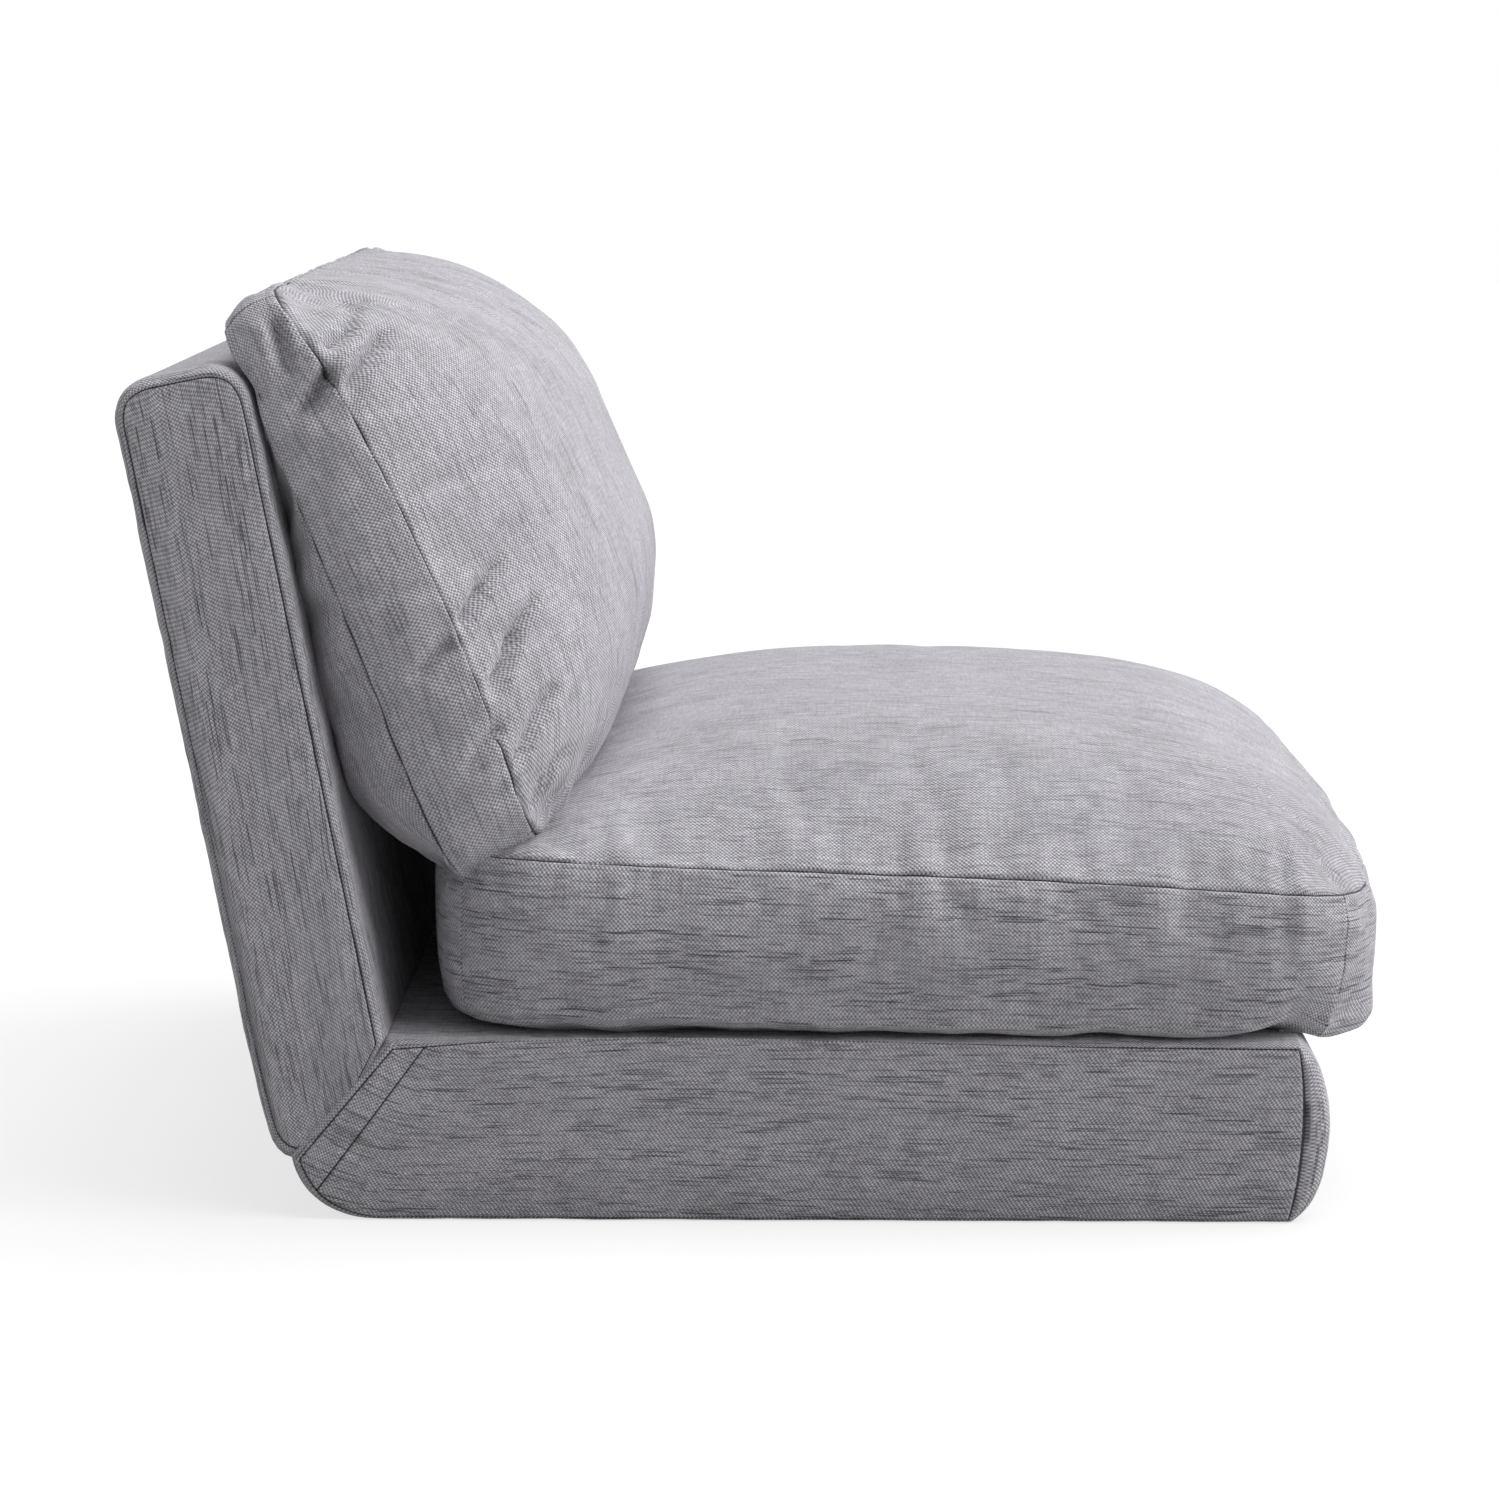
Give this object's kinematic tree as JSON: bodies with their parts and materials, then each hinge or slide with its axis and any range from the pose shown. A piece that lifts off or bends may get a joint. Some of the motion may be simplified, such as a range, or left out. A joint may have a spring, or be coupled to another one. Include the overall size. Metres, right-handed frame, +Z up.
{
  "type": "convertible chair bed",
  "caption": "Armless upholstered chair that folds out flat: foam base, crowned seat that flips forward, reclining backrest on toothed hinges and a loose pillow.",
  "frame": {"origin": "on the floor under the middle of the base section", "axes": "+X to the front of the chair, +Y to a sitter's left, +Z up"},
  "size_m": [0.9167, 0.7, 0.6809],
  "materials": {
    "upholstery_fabric": "matt woven linen look with darker slubs",
    "hinge_webbing": "flat woven webbing",
    "non_slip_cloth": "dark cloth with small rubber dots",
    "foam": "open cell foam, matt cream",
    "fibre_fill": "white polyester fibre",
    "zip_tape": "woven tape with a nylon coil",
    "painted_frame": "black powder coat",
    "zinc_steel": "zinc plated, satin",
    "spring_steel": "blued spring strip"
  },
  "bodies": {
    "base": {"base_cover": "upholstery_fabric", "base_sole_cloth": "non_slip_cloth", "base_foam": "foam", "base_frame": "painted_frame", "base_hinge_tape": "hinge_webbing", "base_zip": "zip_tape", "ratchet_leaf_left": "zinc_steel", "ratchet_leaf_right": "zinc_steel", "pivot_pin_left": "zinc_steel", "pivot_pin_right": "zinc_steel", "base_rivet_1_left": "zinc_steel", "base_rivet_1_right": "zinc_steel", "base_rivet_2_left": "zinc_steel", "base_rivet_2_right": "zinc_steel"},
    "backrest": {"back_cover": "upholstery_fabric", "back_foam": "foam", "back_frame": "painted_frame", "back_zip": "zip_tape", "back_arm_left": "zinc_steel", "back_arm_right": "zinc_steel", "back_rivet_1_left": "zinc_steel", "back_rivet_1_right": "zinc_steel", "back_rivet_2_left": "zinc_steel", "back_rivet_2_right": "zinc_steel", "pawl_pin_left": "zinc_steel", "pawl_pin_right": "zinc_steel", "pawl_spring_left": "spring_steel", "pawl_spring_right": "spring_steel"},
    "seat": {"seat_cover": "upholstery_fabric", "seat_foam": "foam", "seat_crown_fill": "fibre_fill", "seat_zip": "zip_tape", "seat_hinge_tape": "hinge_webbing"},
    "pillow": {"pillow_cover": "upholstery_fabric", "pillow_fill": "fibre_fill", "pillow_zip": "zip_tape"},
    "pawl_left": {"pawl_left": "zinc_steel"},
    "pawl_right": {"pawl_right": "zinc_steel"},
    "base_zip_slider": {"base_zip_slider": "zinc_steel"},
    "back_zip_slider": {"back_zip_slider": "zinc_steel"},
    "seat_zip_slider": {"seat_zip_slider": "zinc_steel"},
    "pillow_zip_slider": {"pillow_zip_slider": "zinc_steel"}
  },
  "joints": [
    {"name": "recline", "type": "hinge", "parent": "base", "child": "backrest", "pos_m": [-0.364, 0, 0.072], "axis": [0, -1, 0], "range_deg": [0, 82.5]},
    {"name": "seat_flip", "type": "hinge", "parent": "base", "child": "seat", "pos_m": [0.399, 0, 0.137], "axis": [0, 1, 0], "range_deg": [0, 180], "deforming": ["pillow_cover", "pillow_fill"]},
    {"name": "pillow_lift", "type": "slide", "parent": "backrest", "child": "pillow", "axis": [-0.1994, 0, 0.9799], "range_m": [0, 0.35]},
    {"name": "pawl_release_left", "type": "hinge", "parent": "backrest", "child": "pawl_left", "pos_m": [-0.36419, 0.3023, 0.10624], "axis": [0, 1, 0], "range_deg": [0, 10], "stiffness_Nm_per_rad": 0.05, "springref_deg": -11.46, "deforming": ["pawl_spring_left"]},
    {"name": "pawl_release_right", "type": "hinge", "parent": "backrest", "child": "pawl_right", "pos_m": [-0.36419, -0.3023, 0.10624], "axis": [0, 1, 0], "range_deg": [0, 10], "stiffness_Nm_per_rad": 0.05, "springref_deg": -11.46, "deforming": ["pawl_spring_right"]},
    {"name": "base_zip_slide", "type": "slide", "parent": "base", "child": "base_zip_slider", "axis": [0, 1, 0], "range_m": [0, 0.307]},
    {"name": "back_zip_slide", "type": "slide", "parent": "backrest", "child": "back_zip_slider", "axis": [0, 1, 0], "range_m": [0, 0.307]},
    {"name": "seat_zip_slide", "type": "slide", "parent": "seat", "child": "seat_zip_slider", "axis": [0, 1, 0], "range_m": [0, 0.307]},
    {"name": "pillow_zip_slide", "type": "slide", "parent": "pillow", "child": "pillow_zip_slider", "axis": [0, 1, 0], "range_m": [0, 0.307]}
  ]
}
